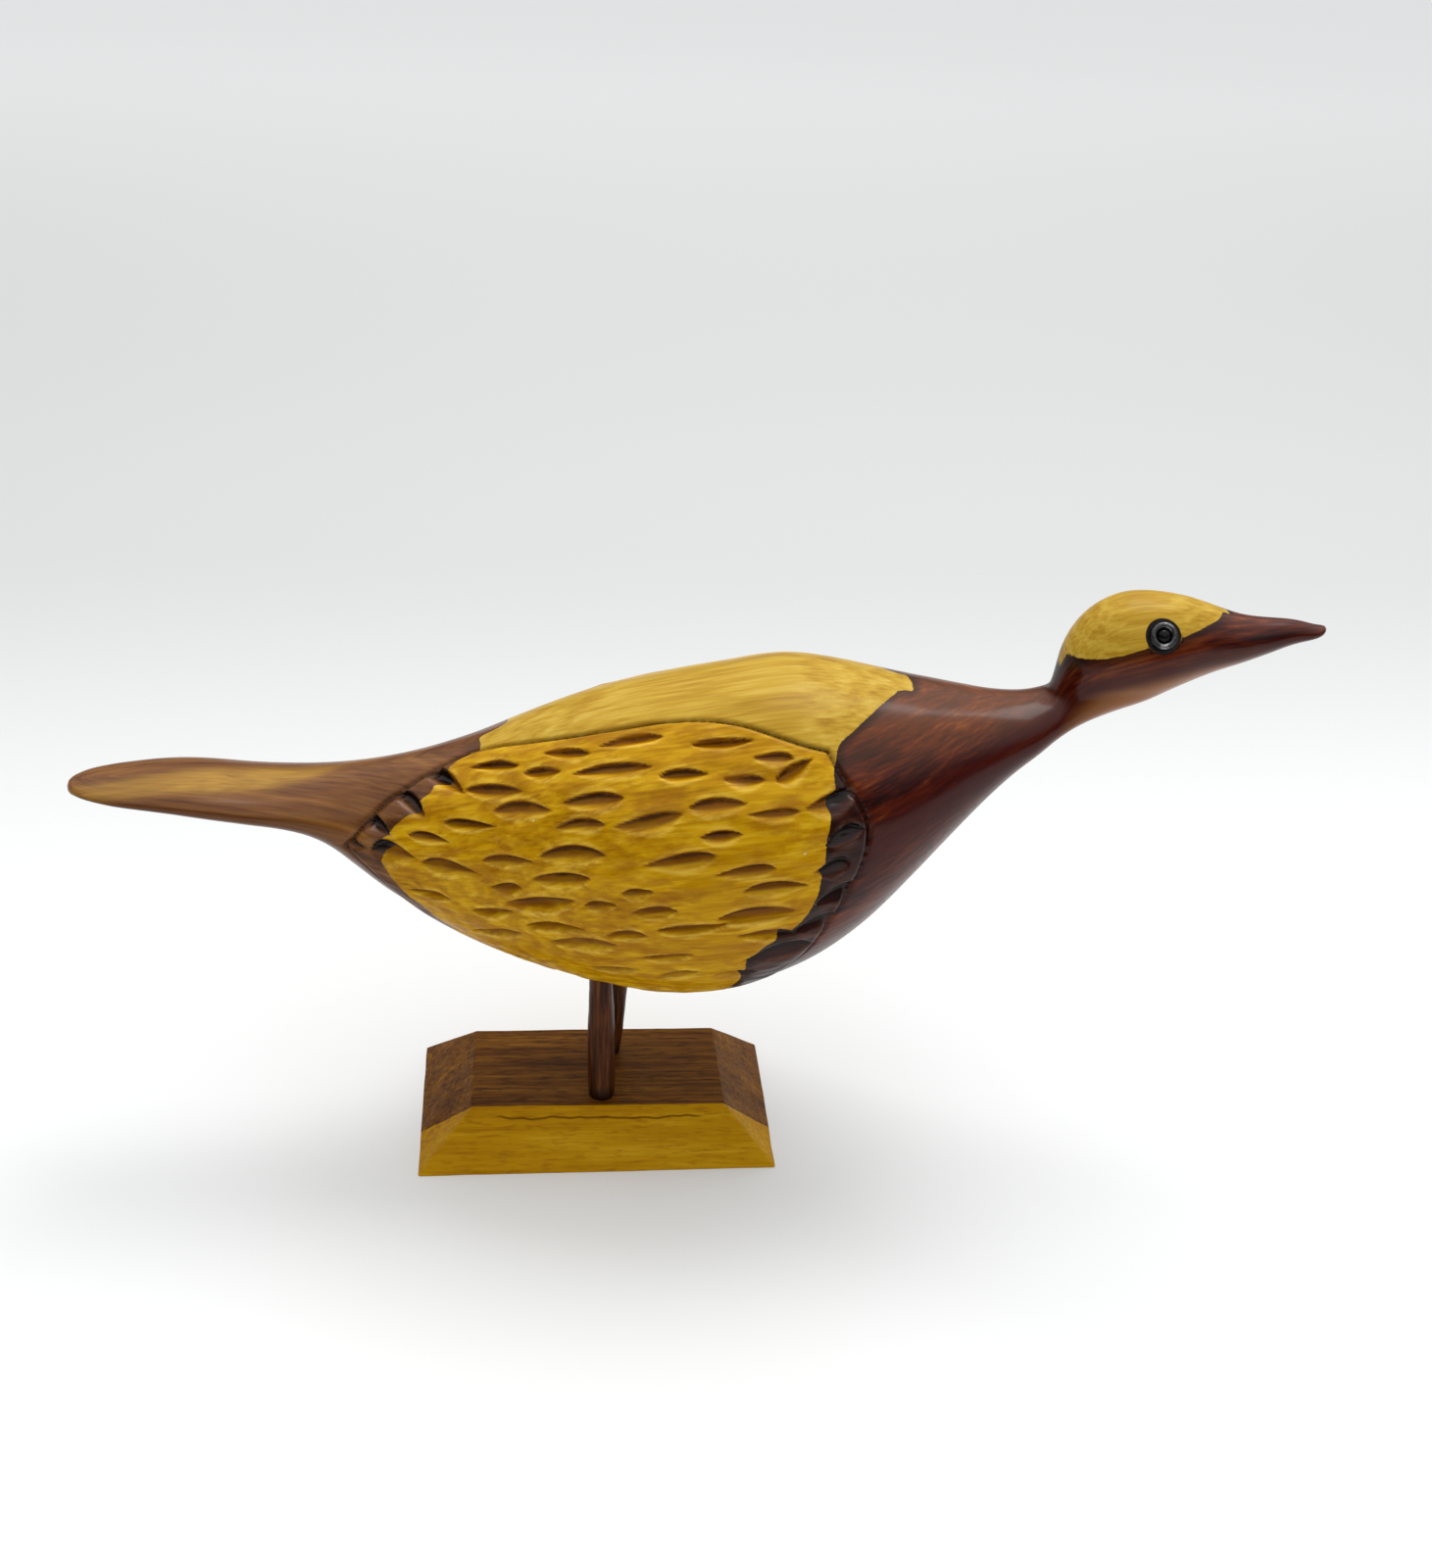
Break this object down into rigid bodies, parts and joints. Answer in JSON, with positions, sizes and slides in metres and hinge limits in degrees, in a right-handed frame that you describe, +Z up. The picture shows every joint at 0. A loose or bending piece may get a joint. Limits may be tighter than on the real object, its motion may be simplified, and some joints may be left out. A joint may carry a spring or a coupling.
{
  "type": "carved wooden bird figurine",
  "caption": "Carved two-tone wooden bird with gouged wings, on two dowel legs glued into a bevelled wooden base.",
  "frame": {"origin": "on the underside of the base, straight below the middle of the two legs", "axes": "+Z up; +X the way the bill points; +Y towards the bird's left side"},
  "size_m": [0.2935, 0.077, 0.1437],
  "materials": {
    "carved_wood": "semi-gloss lacquer over two-tone heartwood and sapwood",
    "base_wood": "satin lacquer, dark top and pale front",
    "leg_wood": "semi-gloss, dark brown heartwood",
    "seat_filler": "dark hardened filler",
    "eye_metal": "polished",
    "eye_bead": "glossy black glass",
    "pin_steel": "plain wire"
  },
  "bodies": {
    "root": {"body": "carved_wood", "base_block": "base_wood", "leg_right": "leg_wood", "leg_left": "leg_wood", "eye_seat_right": "seat_filler", "eye_ring_right": "eye_metal", "eye_bead_right": "eye_bead", "eye_pin_right": "pin_steel", "eye_seat_left": "seat_filler", "eye_ring_left": "eye_metal", "eye_bead_left": "eye_bead", "eye_pin_left": "pin_steel"}
  },
  "joints": []
}
